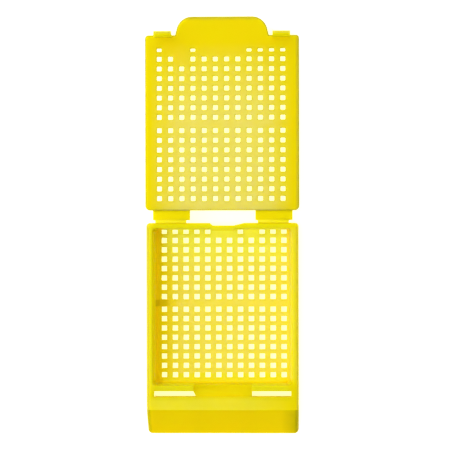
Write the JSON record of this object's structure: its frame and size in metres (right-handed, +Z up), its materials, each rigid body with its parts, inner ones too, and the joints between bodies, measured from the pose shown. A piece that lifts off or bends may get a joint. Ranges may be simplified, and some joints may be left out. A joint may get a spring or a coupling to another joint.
{
  "type": "tissue cassette",
  "caption": "Perforated tissue cassette: a shallow tray with a slanted writing face and a hinged perforated lid with two snap hooks.",
  "frame": {"origin": "middle of the tray's underside, on the surface it stands on", "axes": "+X across the tray, +Y from the slanted writing face to the hinge and on along the open lid, +Z up out of the tray"},
  "size_m": [0.029, 0.079, 0.0091],
  "materials": {
    "yellow_acetal": "fine satin, as moulded"
  },
  "bodies": {
    "tray": {"base_tray": "yellow_acetal", "left_hinge_strap": "yellow_acetal", "right_hinge_strap": "yellow_acetal"},
    "cover": {"lid": "yellow_acetal"}
  },
  "joints": [
    {"name": "lid_hinge", "type": "hinge", "parent": "tray", "child": "cover", "pos_m": [0, 0.02167, 0.00562], "axis": [1, 0, 0], "range_deg": [0, 180], "deforming": ["left_hinge_strap", "right_hinge_strap"]}
  ]
}
